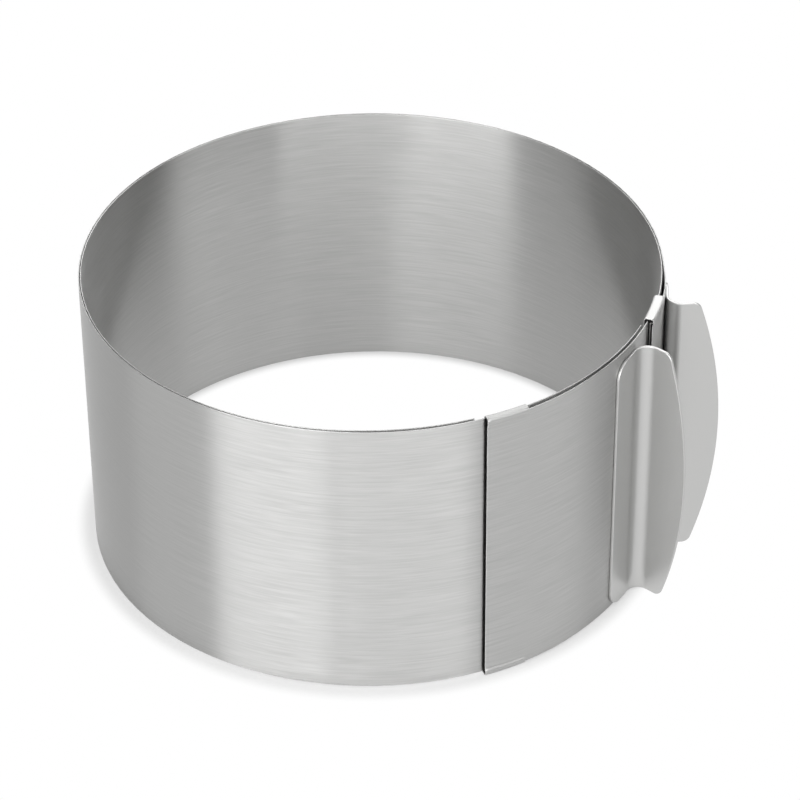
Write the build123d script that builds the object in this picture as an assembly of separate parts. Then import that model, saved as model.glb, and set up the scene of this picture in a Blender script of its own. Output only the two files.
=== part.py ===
from build123d import *
import math
import os

os.makedirs("parts", exist_ok=True)

# An adjustable cake ring of two thin steel bands that slide round each other.
# Millimetres. Z is the ring's axis and z = 0 is the surface that it stands on.
# Angles are in degrees, counter-clockwise from above, and the handles are near zero.
# Each band is a strip that starts outside the other and spirals inwards, so that its tail
# ends inside. The ring is drawn at its smallest setting.

# Driving dimensions of the whole ring: across its outside, and over its folded tabs
ring_diameter = 160.0
ring_height = 85.5
band_length = 500.0
sheet = 0.3
slide_gap = 0.2
rim_clearance = 0.2

# Where each band's outer end stands
inner_band_seam_angle = -68.4
outer_band_mouth_angle = -22.0

# Folded tabs, which hold the rims of the other band at each band's outer end
tab_width = 12.0
tab_lip = 4.0
tab_corner = 0.7
tab_bead = 0.25
tab_bead_drop = 1.2
tab_bead_slope = 0.5
tab_bead_corner = 0.3

# The outer ends spring away from the round: the seam a little, the mouth more
seam_flare = 0.4
seam_flare_from_angle = -57.0
seam_flare_to_angle = -40.0
mouth_flare = 0.8
mouth_flare_from_angle = -11.5
mouth_flare_to_angle = 0.0

# The inner band's tail springs inwards, which opens a gap behind the front rim
tail_spring = 0.45
tail_spring_turn = 80.0

# The leaf spring in the mouth, which presses on the inner band
leaf = 0.2
leaf_gap = 0.4
leaf_rim_gap = 0.6

# Bent handles, spot welded to the bands
handle_sheet = 0.8
handle_height = 81.7
handle_lift = 0.4
handle_bend = 3.4
handle_foot = 9.3
handle_foot_corner = 5.0
handle_depth = 15.5
handle_end_depth = 8.7
handle_tip_corner = 2.5
handle_lean_angle = 13.0
front_bend_angle = -29.5
rear_bend_angle = -9.3

# One overrun serves every cut
overrun = 20.0

# A band's long stretches are arcs of up to this turn, and a blend passes these many points
stretch_angle = 30.0
blend_points = 9


def polar(radius, angle):
    """A point of the plan."""
    turn = math.radians(angle)
    return Vector(radius * math.cos(turn), radius * math.sin(turn))


def outward(angle):
    """The direction away from the axis."""
    return polar(1, angle)


def onward(angle):
    """The direction round the ring, counter-clockwise."""
    return polar(1, angle + 90)


def arc_span(length, radius):
    """The angle that a length takes along a circle."""
    return math.degrees(length / radius)


band_angle = arc_span(band_length, ring_diameter / 2)
tab_angle = arc_span(tab_width, ring_diameter / 2)

# The inner band's turn from the smallest setting to the largest, where the seam and the
# mouth stand opposite each other
travel_angle = 180 - (outer_band_mouth_angle - inner_band_seam_angle)

# Both bands fall inwards alike with each degree. The fall leaves room for the sheets and
# their gaps at the mouth and at the seam over the whole travel.
layer = sheet + slide_gap
fall = 2 * layer / (360 - travel_angle)

# Radii at each band's outer end, at the middle of its sheet and before its flare. The
# outer band is as wide as the ring halfway along.
outer_start = (ring_diameter - sheet) / 2 + fall * (band_angle / 2 - tab_angle)
inner_start = outer_start - layer + fall * (outer_band_mouth_angle - inner_band_seam_angle)

# Heights of the rims, which the tabs go round
rim_low = sheet + rim_clearance
rim_high = ring_height - rim_low


def smooth_step(share):
    """0 before the start of a blend and 1 past its end, and level at both."""
    share = min(max(share, 0), 1)
    return share * share * (3 - 2 * share)


class Course:
    """The line of a band round the ring, at the middle of its sheet. It is round under the
    tabs, comes in from its flare by a smooth blend, and spirals inwards to its tail."""

    def __init__(self, start, radius, flare, flare_from, flare_to, spring=0):
        self.start = start
        self.start_radius = radius
        self.flare = flare
        self.flare_from = flare_from
        self.flare_to = flare_to
        self.spring = spring
        self.tab_end = start + tab_angle
        self.tail = start + band_angle

    def radius(self, angle):
        blended = smooth_step((angle - self.flare_from) / (self.flare_to - self.flare_from))
        sprung = smooth_step(1 - (self.tail - angle) / tail_spring_turn)
        fallen = fall * max(angle - self.tab_end, 0)
        return self.start_radius + self.flare * (1 - blended) - self.spring * sprung - fallen

    def point(self, angle, offset):
        """A point of the line, moved outwards by the offset."""
        return polar(self.radius(angle) + offset, angle)

    def tangent(self, angle):
        """The direction of the line, from its slope over a hundredth of a degree each way."""
        turn = 0.01
        return (self.point(angle + turn, 0) - self.point(angle - turn, 0)).normalized()

    def marks(self, start, end):
        """The angles where one stretch of the line ends and the next begins."""
        marks = [self.tab_end, self.flare_from, self.flare_to]
        while marks[-1] + stretch_angle < end:
            marks.append(marks[-1] + stretch_angle)
        return [start] + [mark for mark in marks if start < mark < end] + [end]

    def stretch(self, low, high, offset):
        """One stretch of the line: an arc, or a smooth curve where the flare blends in."""
        blended = self.flare_from < (low + high) / 2 < self.flare_to
        steps = blend_points - 1 if blended else 2
        turn = (high - low) / steps
        points = [self.point(low + turn * step, offset) for step in range(steps + 1)]
        if blended:
            return Spline(points, tangents=[self.tangent(low), self.tangent(high)])
        return ThreePointArc(*points)

    def line(self, start, end, offset):
        """The line's stretches from one angle to another, moved outwards by the offset."""
        marks = self.marks(start, end)
        return [self.stretch(low, high, offset) for low, high in zip(marks, marks[1:])]


inner_course = Course(
    inner_band_seam_angle, inner_start, seam_flare, seam_flare_from_angle, seam_flare_to_angle,
    tail_spring,
)
outer_course = Course(
    outer_band_mouth_angle, outer_start, mouth_flare, mouth_flare_from_angle, mouth_flare_to_angle
)


def make_strip(course):
    """A band's flat strip, bent along its course and standing on edge."""
    inside = course.line(course.start, course.tail, -sheet / 2)
    outside = course.line(course.start, course.tail, sheet / 2)
    ends = [
        Line(inside[0] @ 0, outside[0] @ 0),
        Line(inside[-1] @ 1, outside[-1] @ 1),
    ]
    face = make_face(Wire(inside + outside + ends))
    return Pos(0, 0, rim_low) * extrude(face, rim_high - rim_low)


def turned(section, start):
    """A section in the radius-height plane, turned about the ring's axis over a tab's width."""
    return Rot(0, 0, start) * revolve(Plane.XZ * section, Axis.Z, tab_angle)


# Where the sheet leaves the straight wall to become a tab, and where it has formed its bead
tab_root = rim_high - tab_bead_drop - tab_bead_slope - tab_bead_corner
bead_low = rim_high - tab_bead_drop - tab_bead_slope
bead_high = rim_high - tab_bead_drop


def fold_line(wall, lip, crown, bend):
    """One face of a top tab's sheet: up the wall, out over a small bead, round the rim and
    down inside it."""
    return FilletPolyline(
        (wall, tab_root),
        (wall, bead_low),
        (wall + tab_bead, bead_high),
        (wall + tab_bead, crown),
        (lip, crown),
        (lip, ring_height - tab_lip),
        radius=[tab_bead_corner, tab_bead_corner, bend, bend],
    )


def tab_section(wall_radius, lip_radius):
    """Section of a top tab, from the middle radii of the wall and of the lip inside."""
    outer = fold_line(wall_radius + sheet / 2, lip_radius - sheet / 2, ring_height, tab_corner)
    inner = fold_line(
        wall_radius - sheet / 2, lip_radius + sheet / 2, ring_height - sheet, tab_corner - sheet
    )
    ends = [Line(outer @ 0, inner @ 0), Line(outer @ 1, inner @ 1)]
    return make_face(Wire(outer.edges() + inner.edges() + ends))


def add_tabs(strip, course, lip_radius):
    """The strip with its outer end folded round the other band's rims, top and bottom."""
    wall_radius = course.radius(course.start)
    slot = Pos(wall_radius, tab_root + overrun / 2) * Rectangle(2 * sheet, overrun)
    top_slot = turned(slot, course.start)
    top_tab = turned(tab_section(wall_radius, lip_radius), course.start)
    mid_height = Plane.XY.offset(ring_height / 2)
    cut = strip - top_slot - mirror(top_slot, mid_height)
    return cut + top_tab + mirror(top_tab, mid_height)


def make_inner_band():
    """Its tabs hold the outer band's tail, which is furthest in at the smallest setting."""
    held = outer_course.radius(inner_course.tab_end + 360)
    return add_tabs(make_strip(inner_course), inner_course, held - layer)


def make_outer_band():
    """Its tabs hold the inner band, which is furthest in at the largest setting."""
    held = inner_course.radius(outer_course.tab_end + travel_angle)
    return add_tabs(make_strip(outer_course), outer_course, held - layer)


def make_clamp_leaf():
    """A thin plate in the mouth, with its long edges turned out to seat in the tabs' beads."""
    wall = outer_course.radius(outer_course.start) - sheet / 2
    seat = wall + tab_bead
    plate = wall - leaf_gap
    low = rim_low + leaf_rim_gap
    high = rim_high - leaf_rim_gap
    section = Polyline(
        (seat, low),
        (plate - leaf, low),
        (plate - leaf, high),
        (seat, high),
        (seat, high - leaf),
        (plate, high - leaf),
        (plate, low + leaf),
        (seat, low + leaf),
        close=True,
    )
    return turned(make_face(section), outer_course.start)


class HandlePlan:
    """A handle seen from above: its foot lies along a band and its fin stands out from the
    bend. way is +1 where the foot lies clockwise of the bend, and -1 on the other side."""

    def __init__(self, course, bend_angle, way):
        self.course = course
        self.bend_angle = bend_angle
        wall = course.radius(bend_angle) + sheet / 2
        self.foot_angle = bend_angle - way * arc_span(handle_foot, wall)
        self.root = polar(wall, bend_angle)
        self.ahead = onward(bend_angle) * way
        self.out = outward(bend_angle)
        self.turn = math.radians(90 + handle_lean_angle)
        self.fin = self.ahead * math.cos(self.turn) + self.out * math.sin(self.turn)

    def on_bend(self, radius, share):
        """A point of the bend, at a share of its turn from the foot to the fin."""
        centre = self.root + self.out * (handle_sheet + handle_bend)
        angle = self.turn * share
        return centre + (self.ahead * math.sin(angle) - self.out * math.cos(angle)) * radius

    def side(self, offset, radius):
        """One face of the plate: along the foot, round the bend and out along the fin."""
        foot = self.course.line(*sorted((self.foot_angle, self.bend_angle)), offset)
        bend = ThreePointArc(*[self.on_bend(radius, share) for share in (0, 1 / 2, 1)])
        tip = self.on_bend(radius, 1) + self.fin * (handle_depth + overrun)
        return foot + [bend, Line(bend @ 1, tip)]

    def face(self):
        back = self.side(sheet / 2, handle_bend + handle_sheet)
        front = self.side(sheet / 2 + handle_sheet, handle_bend)
        foot_end = Line(
            self.course.point(self.foot_angle, sheet / 2),
            self.course.point(self.foot_angle, sheet / 2 + handle_sheet),
        )
        return make_face(Wire(back + front + [foot_end, Line(back[-1] @ 1, front[-1] @ 1)]))

    def outline(self):
        """The plate's outline seen square to the fin: its outer edge is bowed, and its corners
        are rounded."""
        half = handle_height / 2
        bow = ThreePointArc((handle_end_depth, -half), (handle_depth, 0), (handle_end_depth, half))
        sides = Polyline(
            (handle_end_depth, half), (-overrun, half), (-overrun, -half), (handle_end_depth, -half)
        )
        face = make_face(Wire(bow.edges() + sides.edges()))
        rounded = fillet(face.vertices().sort_by(Axis.X)[-2:], handle_tip_corner)
        side = self.fin.cross(Vector(0, 0, 1))
        middle = Vector(self.root.X, self.root.Y, handle_lift + half)
        return Plane(origin=middle, x_dir=self.fin, z_dir=side) * rounded


def make_handle(course, bend_angle, way):
    """A handle of bent plate, cut to its outline, with the free corners of its foot rounded."""
    plan = HandlePlan(course, bend_angle, way)
    blank = Pos(0, 0, handle_lift) * extrude(plan.face(), handle_height)
    handle = (blank & extrude(plan.outline(), handle_depth + overrun, both=True)).solids()[0]
    foot_end = plan.course.point(plan.foot_angle, (sheet + handle_sheet) / 2)
    corners = [
        edge for edge in handle.edges()
        if edge.length < 2 * handle_sheet
        and (Vector(edge.center().X, edge.center().Y) - foot_end).length < handle_sheet / 2
    ]
    return fillet(corners, handle_foot_corner)


nodes = {
    "outer_band": make_outer_band(),
    "inner_band": make_inner_band(),
    "clamp_leaf": make_clamp_leaf(),
    "inner_band_handle": make_handle(inner_course, front_bend_angle, 1),
    "outer_band_handle": make_handle(outer_course, rear_bend_angle, -1),
}

for name, solid in nodes.items():
    export_step(solid, f"parts/{name}.step")
    print(name, "volume", round(solid.volume, 1))
print("travel", round(travel_angle, 1), "degrees, fall per turn", round(360 * fall, 2), "mm")
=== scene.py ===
import bmesh
import bpy
import math
from mathutils import Euler, Matrix, Vector


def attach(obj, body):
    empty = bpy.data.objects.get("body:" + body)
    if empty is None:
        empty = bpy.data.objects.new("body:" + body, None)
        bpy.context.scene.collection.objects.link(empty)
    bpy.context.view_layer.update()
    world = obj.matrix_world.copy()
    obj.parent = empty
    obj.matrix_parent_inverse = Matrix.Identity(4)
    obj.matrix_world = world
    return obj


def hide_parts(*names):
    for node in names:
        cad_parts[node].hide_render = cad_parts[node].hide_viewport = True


# The frame of solids. Metres, with z = 0 the surface that the ring stands on and Z its axis.
# Angles run counter-clockwise from above: the camera's side is -90 degrees, the handles near 0.
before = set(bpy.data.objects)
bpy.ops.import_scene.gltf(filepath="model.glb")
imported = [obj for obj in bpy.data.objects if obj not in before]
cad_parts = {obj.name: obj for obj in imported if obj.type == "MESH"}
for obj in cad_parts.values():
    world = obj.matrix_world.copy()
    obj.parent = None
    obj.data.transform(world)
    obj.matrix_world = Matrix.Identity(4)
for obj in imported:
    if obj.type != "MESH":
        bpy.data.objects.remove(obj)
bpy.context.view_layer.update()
bpy.ops.object.select_all(action="DESELECT")

# The two bands: long strips of 0.3 mm stainless sheet, bought brushed along their length.
# Each is sheared, its outer end is folded inwards over both rims of the other strip, and it
# is then rolled into a flat spiral that starts outside the other strip and ends inside it.
MM = 0.001
SHEET = 0.3 * MM
RING_HEIGHT = 85.5 * MM
RIM_DROP = 0.5 * MM

# Cut edges are a little rounded. An edge of the mesh that turns by less is part of a fold.
SHEARED_EDGE = 0.13 * MM
EDGE_STEPS = 3
CUT_EDGE_TURN = math.radians(50)

# A tab rises from the strip through a shallow bead, goes over in a crown and ends in a lip.
TAB_LENGTH = 12.15 * MM
LIP_HEIGHT = 4.0 * MM
FOLD_RADIUS = 0.55 * MM
FOLD_STEPS = 6
BEAD = 0.25 * MM
BEAD_TOP_DROP = 1.7 * MM
BEAD_SLOPE = 0.5 * MM
BEAD_FOOT = 0.3 * MM
BEAD_BLEND = 0.07 * MM
BEAD_STEPS = 3

# A strip's way round. FALL is how far it comes inwards over one radian of its turn.
BAND_TURN = math.radians(358.1)
TAB_TURN = math.radians(8.594)
FALL = 0.004417 * MM / math.radians(1)
TAIL_SPRING_TURN = math.radians(80)
COURSE_STEP = math.radians(0.5)
COLUMN = 1.4 * MM


def smooth_step(share):
    """0 before the start of a blend, 1 past its end, and level at both."""
    share = min(max(share, 0), 1)
    return share * share * (3 - 2 * share)


def course_point(band, angle):
    """A point of a band's line in plan: round under the tab, then blending in and falling to
    the tail, which springs a little further in."""
    start = math.radians(band["start"])
    share = (math.degrees(angle) - band["flare_from"]) / (band["flare_to"] - band["flare_from"])
    radius = band["radius"] + band["flare"] * (1 - smooth_step(share))
    radius -= FALL * max(angle - start - TAB_TURN, 0)
    radius -= band["tail_spring"] * smooth_step(1 - (start + BAND_TURN - angle) / TAIL_SPRING_TURN)
    return Vector((radius * math.cos(angle), radius * math.sin(angle), 0))


def plan_line(point_at, start, end, steps):
    """Points of a line in plan, at even steps of its angle."""
    return [point_at(start + (end - start) * step / steps) for step in range(steps + 1)]


def line_length(points):
    """The length of the straight runs from point to point."""
    return sum((b - a).length for a, b in zip(points, points[1:]))


def select_places(piece, test):
    """Selects the edges of the mesh in edit mode whose two ends both pass the test."""
    mesh = bmesh.from_edit_mesh(piece.data)
    bpy.ops.mesh.select_all(action="DESELECT")
    for edge in mesh.edges:
        if all(test(vertex.co) for vertex in edge.verts):
            edge.select_set(True)
    bmesh.update_edit_mesh(piece.data)


def pull(x=0.0, y=0.0, z=0.0):
    """Extrudes the selected edges by a step, which leaves the new edges selected."""
    bpy.ops.mesh.extrude_region_move(TRANSFORM_OT_translate={"value": (x, y, z)})


def plate(name, length, low, high):
    """A flat plate without thickness that stands on edge along X, open for editing. Its
    outer side faces -Y."""
    bpy.ops.mesh.primitive_plane_add(size=1, rotation=(math.pi / 2, 0, 0))
    piece = bpy.context.object
    piece.name = name
    piece.scale = (length, high - low, 1)
    piece.location = (length / 2, 0, (low + high) / 2)
    bpy.ops.object.transform_apply()
    bpy.ops.object.mode_set(mode="EDIT")
    bpy.ops.mesh.select_mode(type="EDGE")
    return piece


def use_modifier(piece, kind, **settings):
    """Adds a modifier with its settings and applies it."""
    modifier = piece.modifiers.new(kind.lower(), kind)
    for name, value in settings.items():
        setattr(modifier, name, value)
    bpy.ops.object.modifier_apply(modifier=modifier.name)


def thicken(piece, thickness, edge_round):
    """Gives the plate its gauge about its middle, and breaks its cut edges."""
    use_modifier(piece, "SOLIDIFY", thickness=thickness, offset=0, use_even_offset=True)
    use_modifier(piece, "BEVEL", width=edge_round, segments=EDGE_STEPS, limit_method="ANGLE",
                 angle_limit=CUT_EDGE_TURN)


def bend_along(piece, points):
    """Bends the piece, laid along X, along a line in plan."""
    curve = bpy.data.curves.new("bend", "CURVE")
    curve.dimensions = "3D"
    curve.twist_mode = "Z_UP"
    spline = curve.splines.new("POLY")
    spline.points.add(len(points) - 1)
    for spot, point in zip(spline.points, points):
        spot.co = (*point, 1)
    guide = bpy.data.objects.new("bend", curve)
    bpy.context.scene.collection.objects.link(guide)
    use_modifier(piece, "CURVE", object=guide, deform_axis="POS_X")
    bpy.data.objects.remove(guide)
    bpy.data.curves.remove(curve)


def finish_mesh(piece):
    """Rounds the shading, with the broad faces setting the normals at the broken edges."""
    bpy.ops.object.shade_smooth()
    use_modifier(piece, "WEIGHTED_NORMAL", weight=100, keep_sharp=False)


def make_band(name, band):
    """The upper half is modelled flat about the strip's mid-height and mirrored."""
    start = math.radians(band["start"])
    steps = round(BAND_TURN / COURSE_STEP)
    points = plan_line(lambda angle: course_point(band, angle), start, start + BAND_TURN, steps)
    length = line_length(points)
    rim = RING_HEIGHT / 2 - RIM_DROP
    bead_high = RING_HEIGHT / 2 - BEAD_TOP_DROP
    bead_low = bead_high - BEAD_SLOPE
    root = bead_low - BEAD_FOOT
    crown = (RING_HEIGHT - SHEET) / 2
    close = SHEET / 10

    # The wall up to the rim, and at its start the tab: bead, crown, and lip down inside
    piece = plate(name, length, 0, root)
    bpy.ops.mesh.bisect(plane_co=(TAB_LENGTH, 0, 0), plane_no=(1, 0, 0))
    select_places(piece, lambda co: co.z > root - close and co.x > TAB_LENGTH - close)
    pull(z=rim - root)
    select_places(piece, lambda co: abs(co.z - root) < close and co.x < TAB_LENGTH + close)
    pull(z=bead_low - root)
    pull(y=-BEAD, z=bead_high - bead_low)
    pull(z=crown - bead_high)
    pull(y=BEAD + band["lip_depth"])
    pull(z=RING_HEIGHT / 2 - LIP_HEIGHT - crown)

    # The folds get their radii.
    on_tab = TAB_LENGTH + close
    for height in (bead_low, bead_high):
        select_places(piece, lambda co: abs(co.z - height) < close and co.x < on_tab and co.y < close)
        bpy.ops.mesh.bevel(affect="EDGES", offset=BEAD_BLEND, segments=BEAD_STEPS)
    for depth in (-BEAD, band["lip_depth"]):
        select_places(piece, lambda co: abs(co.z - crown) < close and abs(co.y - depth) < close)
        bpy.ops.mesh.bevel(affect="EDGES", offset=FOLD_RADIUS, segments=FOLD_STEPS)

    # Columns along the tab and along the rest, for the strip to bend at
    for low, high in ((0, TAB_LENGTH), (TAB_LENGTH, length)):
        mesh = bmesh.from_edit_mesh(piece.data)
        bpy.ops.mesh.select_all(action="DESELECT")
        for edge in mesh.edges:
            ends = sorted(vertex.co.x for vertex in edge.verts)
            if abs(ends[0] - low) < close and abs(ends[1] - high) < close:
                edge.select_set(True)
        bmesh.update_edit_mesh(piece.data)
        bpy.ops.mesh.subdivide(number_cuts=round((high - low) / COLUMN))
    bpy.ops.object.mode_set(mode="OBJECT")

    use_modifier(piece, "MIRROR", use_axis=(False, False, True), merge_threshold=close)
    piece.location.z = RING_HEIGHT / 2
    bpy.ops.object.transform_apply()
    thicken(piece, SHEET, SHEARED_EDGE)
    bend_along(piece, points)
    finish_mesh(piece)
    return piece


INNER_BAND = {
    "start": -68.4, "radius": 80.308 * MM, "tail_spring": 0.45 * MM,
    "flare": 0.4 * MM, "flare_from": -57.0, "flare_to": -40.0,
    "lip_depth": 1.99 * MM,
}
OUTER_BAND = {
    "start": -22.0, "radius": 80.603 * MM, "tail_spring": 0.0,
    "flare": 0.8 * MM, "flare_from": -11.5, "flare_to": 0.0,
    "lip_depth": 2.39 * MM,
}


def linear(hex_colour):
    """A colour of the screen, as written #RRGGBB, in the light values that shaders use."""
    shares = [int(hex_colour[place:place + 2], 16) / 255 for place in (1, 3, 5)]
    light = [s / 12.92 if s <= 0.04045 else ((s + 0.055) / 1.055) ** 2.4 for s in shares]
    return (*light, 1.0)


def add_node(tree, kind, settings=None, inputs=None):
    """Adds a node. A node's output given as an input is linked, and any other value is set."""
    node = tree.nodes.new(kind)
    for name, value in (settings or {}).items():
        setattr(node, name, value)
    for socket, value in (inputs or {}).items():
        if isinstance(value, bpy.types.NodeSocket):
            tree.links.new(value, node.inputs[socket])
        else:
            node.inputs[socket].default_value = value
    return node


def new_material(name):
    """An empty material and its output node."""
    material = bpy.data.materials.new(name)
    material.use_nodes = True
    material.node_tree.nodes.clear()
    return material, add_node(material.node_tree, "ShaderNodeOutputMaterial")


# Real brushing is finer than a pixel. It is drawn as coarse as it needs to show.
BRUSH_LINE = 0.42 * MM
BRUSH_LENGTH = 14 * MM
SCRATCH_DEPTH = 0.01 * MM
BAND_COLOUR = "#B5B5B4"
BRUSH_DARKEST = 0.905
BRUSH_LIGHTEST = 1.06
BRUSH_SMOOTHEST = 0.32
BRUSH_ROUGHEST = 0.4

# The noise that draws the brushing seldom leaves these two values.
NOISE_LOW = 0.3
NOISE_HIGH = 0.7

# Across the grain is up the walls, and outwards on the folds' level crowns. The shader takes
# the sum of the two directions and uses only what lies in the surface.
OUTWARDS = (6.0, 6.0, 0.0)
UPWARDS = (0.0, 0.0, 1.0)


def brushed_stainless():
    """Stainless steel 1.4301 with a long-grain brushed finish. The grooves run round the ring,
    so reflections stay sharp from side to side and smear up and down."""
    material, output = new_material("brushed_stainless")
    tree = material.node_tree
    place = add_node(tree, "ShaderNodeTexCoord")
    along = 1 / BRUSH_LENGTH
    across = 1 / BRUSH_LINE
    stretched = add_node(tree, "ShaderNodeMapping", inputs={
        "Vector": place.outputs["Object"], "Scale": (along, along, across)})
    grain = add_node(tree, "ShaderNodeTexNoise", inputs={
        "Vector": stretched.outputs["Vector"], "Scale": 1.0, "Detail": 3.0, "Roughness": 0.6})
    tint = add_node(tree, "ShaderNodeMapRange", inputs={
        "Value": grain.outputs["Fac"], "From Min": NOISE_LOW, "From Max": NOISE_HIGH,
        "To Min": BRUSH_DARKEST, "To Max": BRUSH_LIGHTEST})
    colour = add_node(tree, "ShaderNodeMix", {"data_type": "RGBA", "blend_type": "MULTIPLY"}, {
        "Factor": 1.0, "A": linear(BAND_COLOUR)})
    tree.links.new(tint.outputs["Result"], colour.inputs["B"])
    rough = add_node(tree, "ShaderNodeMapRange", inputs={
        "Value": grain.outputs["Fac"], "From Min": NOISE_LOW, "From Max": NOISE_HIGH,
        "To Min": BRUSH_SMOOTHEST, "To Max": BRUSH_ROUGHEST})
    across_grain = add_node(tree, "ShaderNodeVectorMath", {"operation": "MULTIPLY_ADD"}, {
        0: place.outputs["Object"], 1: OUTWARDS, 2: UPWARDS})
    bump = add_node(tree, "ShaderNodeBump", inputs={
        "Strength": 0.12, "Distance": SCRATCH_DEPTH, "Height": grain.outputs["Fac"]})
    steel = add_node(tree, "ShaderNodeBsdfPrincipled", inputs={
        "Base Color": colour.outputs["Result"], "Metallic": 1.0,
        "Roughness": rough.outputs["Result"], "Anisotropic": 1.0,
        "Tangent": across_grain.outputs["Vector"], "Normal": bump.outputs["Normal"]})
    tree.links.new(steel.outputs["BSDF"], output.inputs["Surface"])
    return material


band_steel = brushed_stainless()


def hand_over(piece, material, body, node):
    """Dresses a finished piece, and has it move with its body and stand for its solid."""
    piece.data.materials.append(material)
    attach(piece, body)
    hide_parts(node)
    bpy.ops.object.select_all(action="DESELECT")


hand_over(make_band("brushed_inner_band", INNER_BAND), band_steel,
          "inner_ring", "inner_band")
hand_over(make_band("brushed_outer_band", OUTER_BAND), band_steel,
          "outer_ring", "outer_band")

# The leaf spring in the mouth of the outer band: thin cold rolled spring steel. Its long edges
# are turned out into the folds' beads, which grip it, and it presses on the inner band.
LEAF_COLOUR = "#C4C4C2"
LEAF_CLOUD = 1.11 * MM
LEAF_SMOOTHEST = 0.3
LEAF_ROUGHEST = 0.45


def rolled_spring_steel():
    """Cold rolled strip: a dull sheen, very faintly cloudy from the rolls."""
    material, output = new_material("rolled_spring_steel")
    tree = material.node_tree
    place = add_node(tree, "ShaderNodeTexCoord")
    clouds = add_node(tree, "ShaderNodeTexNoise", inputs={
        "Vector": place.outputs["Object"], "Scale": 1 / LEAF_CLOUD, "Detail": 2.0})
    rough = add_node(tree, "ShaderNodeMapRange", inputs={
        "Value": clouds.outputs["Fac"], "To Min": LEAF_SMOOTHEST, "To Max": LEAF_ROUGHEST})
    steel = add_node(tree, "ShaderNodeBsdfPrincipled", inputs={
        "Base Color": linear(LEAF_COLOUR), "Metallic": 1.0,
        "Roughness": rough.outputs["Result"]})
    tree.links.new(steel.outputs["BSDF"], output.inputs["Surface"])
    return material


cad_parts["clamp_leaf"].data.materials.clear()
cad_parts["clamp_leaf"].data.materials.append(rolled_spring_steel())

# The two handles: blanked from 0.8 mm stainless sheet with a bowed outer edge, tumbled so
# that they are an even satin with bright broken edges, bent to an L and spot welded on.
HANDLE_SHEET = 0.8 * MM
HANDLE_LOW = 0.4 * MM
HANDLE_HEIGHT = 81.7 * MM
HANDLE_FOOT = 9.3 * MM
HANDLE_FOOT_CORNER = 5 * MM
HANDLE_BEND = 3.4 * MM
HANDLE_DEPTH = 15.5 * MM
HANDLE_END_DEPTH = 8.7 * MM
HANDLE_TIP_CORNER = 1.79 * MM
HANDLE_LEAN = math.radians(13)
HANDLE_EDGE = 0.25 * MM
INNER_HANDLE_AT = -29.5
OUTER_HANDLE_AT = -9.3
BOW_CUTS = 31
CORNER_STEPS = 8
FOOT_STEPS = 20
BEND_STEPS = 24
FOOT_COLUMNS = 8
BEND_COLUMNS = 12


def make_handle(name, band, bend_angle, way):
    """The blank is cut flat, and then bent along the band and out into the fin. way is +1
    where the foot lies clockwise of the bend, and -1 on the other side."""
    middle = (SHEET + HANDLE_SHEET) / 2
    bend_at = math.radians(bend_angle)
    wall = course_point(band, bend_at)
    outward = wall.normalized()
    ahead = Vector((-outward.y, outward.x, 0)) * way
    foot_turn = HANDLE_FOOT / wall.length * way
    turn = math.pi / 2 + HANDLE_LEAN
    fin = ahead * math.cos(turn) + outward * math.sin(turn)

    def on_foot(angle):
        point = course_point(band, angle)
        return point + point.normalized() * middle

    def on_bend(angle):
        radius = HANDLE_BEND + HANDLE_SHEET / 2
        centre = wall + outward * (middle + radius)
        return centre + (ahead * math.sin(angle) - outward * math.cos(angle)) * radius

    foot_line = plan_line(on_foot, bend_at - foot_turn, bend_at, FOOT_STEPS)
    bend_line = plan_line(on_bend, 0, turn, BEND_STEPS)
    foot_length = line_length(foot_line)
    bend_end = foot_length + line_length(bend_line)

    # The fin's depth counts from the wall's face. Its line runs on past its edge.
    root = wall + outward * SHEET / 2
    base = bend_end - (bend_line[-1] - root).dot(fin)
    length = base + HANDLE_DEPTH
    straight = [bend_line[-1] + fin * (length - bend_end) * share for share in (0.5, 1, 1.5)]
    close = HANDLE_SHEET / 100

    # The blank: its outer edge is bowed, and its four corners are rounded.
    half = HANDLE_HEIGHT / 2
    piece = plate(name, length, -half, half)
    select_places(piece, lambda co: co.x > length - close)
    bpy.ops.mesh.subdivide(number_cuts=BOW_CUTS)
    sag = HANDLE_DEPTH - HANDLE_END_DEPTH
    bow = (half * half + sag * sag) / (2 * sag)
    mesh = bmesh.from_edit_mesh(piece.data)
    for vertex in mesh.verts:
        if vertex.co.x > length - close:
            vertex.co.x = length - bow + math.sqrt(bow * bow - vertex.co.z * vertex.co.z)
    bmesh.update_edit_mesh(piece.data)
    bpy.ops.mesh.select_mode(type="VERT")
    for at_foot, corner in ((True, HANDLE_FOOT_CORNER), (False, HANDLE_TIP_CORNER)):
        mesh = bmesh.from_edit_mesh(piece.data)
        bpy.ops.mesh.select_all(action="DESELECT")
        for vertex in mesh.verts:
            if abs(vertex.co.z) > half - close and (vertex.co.x < close) == at_foot:
                vertex.select_set(True)
        bmesh.update_edit_mesh(piece.data)
        bpy.ops.mesh.bevel(affect="VERTICES", offset=corner, segments=CORNER_STEPS)

    # Columns for the foot and the bend
    bend_length = bend_end - foot_length
    cuts = [foot_length * column / FOOT_COLUMNS for column in range(1, FOOT_COLUMNS + 1)]
    cuts += [foot_length + bend_length * column / BEND_COLUMNS for column in range(1, BEND_COLUMNS + 1)]
    for place in cuts:
        bpy.ops.mesh.select_all(action="SELECT")
        bpy.ops.mesh.bisect(plane_co=(place, 0, 0), plane_no=(1, 0, 0))
    bpy.ops.object.mode_set(mode="OBJECT")
    piece.location.z = HANDLE_LOW + half
    bpy.ops.object.transform_apply()
    thicken(piece, HANDLE_SHEET, HANDLE_EDGE)
    bend_along(piece, foot_line + bend_line[1:] + straight)
    finish_mesh(piece)
    return piece


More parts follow.
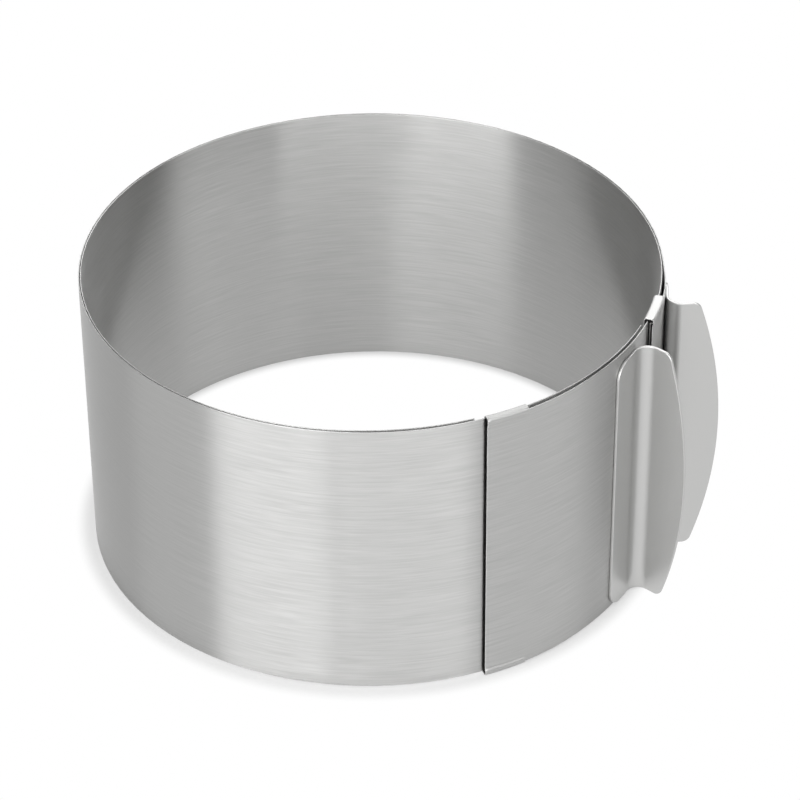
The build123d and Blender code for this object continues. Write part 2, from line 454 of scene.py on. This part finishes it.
# The mottle of tumbling is finer than a pixel too, and is drawn coarser.
MOTTLE = 0.833 * MM
HANDLE_COLOUR = "#BEBEBD"
HANDLE_SMOOTHEST = 0.32
HANDLE_ROUGHEST = 0.42


def tumbled_stainless():
    """Satin stainless sheet after tumbling: a soft sheen with a very fine mottle. Its grain
    runs as the bands' does and is too fine to see, but it draws highlights out up and down."""
    material, output = new_material("tumbled_stainless")
    tree = material.node_tree
    place = add_node(tree, "ShaderNodeTexCoord")
    mottle = add_node(tree, "ShaderNodeTexNoise", inputs={
        "Vector": place.outputs["Object"], "Scale": 1 / MOTTLE, "Detail": 3.0})
    rough = add_node(tree, "ShaderNodeMapRange", inputs={
        "Value": mottle.outputs["Fac"], "To Min": HANDLE_SMOOTHEST, "To Max": HANDLE_ROUGHEST})
    across_grain = add_node(tree, "ShaderNodeVectorMath", {"operation": "MULTIPLY_ADD"}, {
        0: place.outputs["Object"], 1: OUTWARDS, 2: UPWARDS})
    bump = add_node(tree, "ShaderNodeBump", inputs={
        "Strength": 0.1, "Distance": SCRATCH_DEPTH, "Height": mottle.outputs["Fac"]})
    steel = add_node(tree, "ShaderNodeBsdfPrincipled", inputs={
        "Base Color": linear(HANDLE_COLOUR), "Metallic": 1.0,
        "Roughness": rough.outputs["Result"], "Anisotropic": 0.5,
        "Tangent": across_grain.outputs["Vector"], "Normal": bump.outputs["Normal"]})
    tree.links.new(steel.outputs["BSDF"], output.inputs["Surface"])
    return material


handle_steel = tumbled_stainless()
hand_over(make_handle("satin_inner_handle", INNER_BAND, INNER_HANDLE_AT, 1), handle_steel,
          "inner_ring", "inner_band_handle")
hand_over(make_handle("satin_outer_handle", OUTER_BAND, OUTER_HANDLE_AT, -1), handle_steel,
          "outer_ring", "outer_band_handle")

# The studio: a white table between soft lamps of a white cloth each. Five stand round the
# ring, and their upright edges draw the changes of tone on its wall. One hangs overhead. The
# table glows pure white, also in the steel, and shows a pale shade close to the ring: partly
# its real shadow, partly painted shade from its darker paint.
# A grey paint, darker than the white glow, so that the band under the ring shows painted shade.
FLOOR_COLOUR = "#BEBEBE"
FLOOR_HALF = 4.0

# The white covers the table's own paint, except in a band under the ring's wall, where the
# shadow on the paint shows through. The paint is darker than the white, so the band is also
# painted shade where no shadow falls. SHADOW_PALENESS is the white's share there.
SHADOW_PALENESS = 0.4
SHADOW_LINE = 81 * MM
SHADOW_REACH = 5 * MM

bpy.ops.mesh.primitive_plane_add(size=2 * FLOOR_HALF, location=(0, 0, 0))
floor = bpy.context.object
floor.name = "table_top"
white, output = new_material("white_table")
tree = white.node_tree
paint = add_node(tree, "ShaderNodeBsdfPrincipled", inputs={
    "Base Color": linear(FLOOR_COLOUR), "Roughness": 0.9, "Specular IOR Level": 0.1})
glow = add_node(tree, "ShaderNodeEmission", inputs={"Strength": 1.0})
place = add_node(tree, "ShaderNodeTexCoord")
# The band of painted shade and real shadow, set by distance from the ring's axis
reach = add_node(tree, "ShaderNodeVectorMath", {"operation": "LENGTH"}, {0: place.outputs["Object"]})
beside = add_node(tree, "ShaderNodeMath", {"operation": "SUBTRACT"}, {
    0: reach.outputs["Value"], 1: SHADOW_LINE})
apart = add_node(tree, "ShaderNodeMath", {"operation": "ABSOLUTE"}, {0: beside.outputs["Value"]})
pale = add_node(tree, "ShaderNodeMapRange", {"interpolation_type": "SMOOTHSTEP"}, {
    "Value": apart.outputs["Value"], "From Min": 0.0, "From Max": SHADOW_REACH,
    "To Min": SHADOW_PALENESS, "To Max": 1.0})
path = add_node(tree, "ShaderNodeLightPath")
looked_at = add_node(tree, "ShaderNodeMath", {"operation": "ADD"}, {
    0: path.outputs["Is Camera Ray"], 1: path.outputs["Is Glossy Ray"]})
seen = add_node(tree, "ShaderNodeMath", {"operation": "ADD", "use_clamp": True}, {
    0: looked_at.outputs["Value"], 1: path.outputs["Is Transmission Ray"]})
share = add_node(tree, "ShaderNodeMath", {"operation": "MULTIPLY"}, {
    0: seen.outputs["Value"], 1: pale.outputs["Result"]})
table = add_node(tree, "ShaderNodeMixShader", inputs={
    0: share.outputs["Value"], 1: paint.outputs["BSDF"], 2: glow.outputs["Emission"]})
tree.links.new(table.outputs["Shader"], output.inputs["Surface"])
floor.data.materials.append(white)

LAMP_DISTANCE = 1.2
RING_MIDDLE = Vector((0, 0, 0.04))


def soft_lamp(name, azimuth, height, width, tall, watts, distance=LAMP_DISTANCE):
    """A flat soft lamp that faces the ring's middle from an azimuth, counter-clockwise from +X."""
    turn = math.radians(azimuth)
    place = Vector((distance * math.cos(turn), distance * math.sin(turn), height))
    bpy.ops.object.light_add(type="AREA", location=place)
    lamp = bpy.context.object
    lamp.name = name
    lamp.data.shape = "RECTANGLE"
    lamp.data.size = width
    lamp.data.size_y = tall
    lamp.data.energy = watts
    aim = RING_MIDDLE - place
    lamp.rotation_euler = aim.to_track_quat("-Z", "Y").to_euler()


soft_lamp("left_lamp", azimuth=-168, height=0.6, width=0.8, tall=1.2, watts=2.6)
soft_lamp("key_lamp", azimuth=-126, height=0.6, width=1.07, tall=1.2, watts=17.5)
soft_lamp("front_lamp", azimuth=-78, height=0.4, width=1.07, tall=0.8, watts=9.4)
soft_lamp("right_lamp", azimuth=-28, height=0.85, width=1.17, tall=1.2, watts=8.4)
soft_lamp("back_lamp", azimuth=80, height=1.0, width=2.0, tall=0.8, watts=13.5)
soft_lamp("top_lamp", azimuth=0, height=1.6, width=1.6, tall=1.6, watts=10, distance=MM)

world = bpy.data.worlds.new("studio")
world.use_nodes = True
bpy.context.scene.world = world
world.node_tree.nodes["Background"].inputs["Color"].default_value = linear("#FFFFFF")
world.node_tree.nodes["Background"].inputs["Strength"].default_value = 0.25

# The camera stands where the photograph was taken from: a little above the ring, far off,
# through a long lens.
CAMERA_PLACE = Vector((0, -794.3, 603.75)) * MM
CAMERA_PITCH = math.radians(35.43)
CAMERA_PAN = math.radians(0.58)
CAMERA_ROLL = math.radians(-0.44)
LENS_MM = 155.4
SENSOR_MM = 36

bpy.ops.object.camera_add(location=CAMERA_PLACE)
camera = bpy.context.object
level = Euler((math.pi / 2 - CAMERA_PITCH, 0, -CAMERA_PAN)).to_matrix()
camera.rotation_euler = (level @ Matrix.Rotation(CAMERA_ROLL, 3, "Z")).to_euler()
camera.data.lens = LENS_MM
camera.data.sensor_width = SENSOR_MM
camera.data.clip_start = 0.01
camera.data.clip_end = 20
bpy.context.scene.camera = camera
bpy.context.scene.view_settings.view_transform = "Standard"
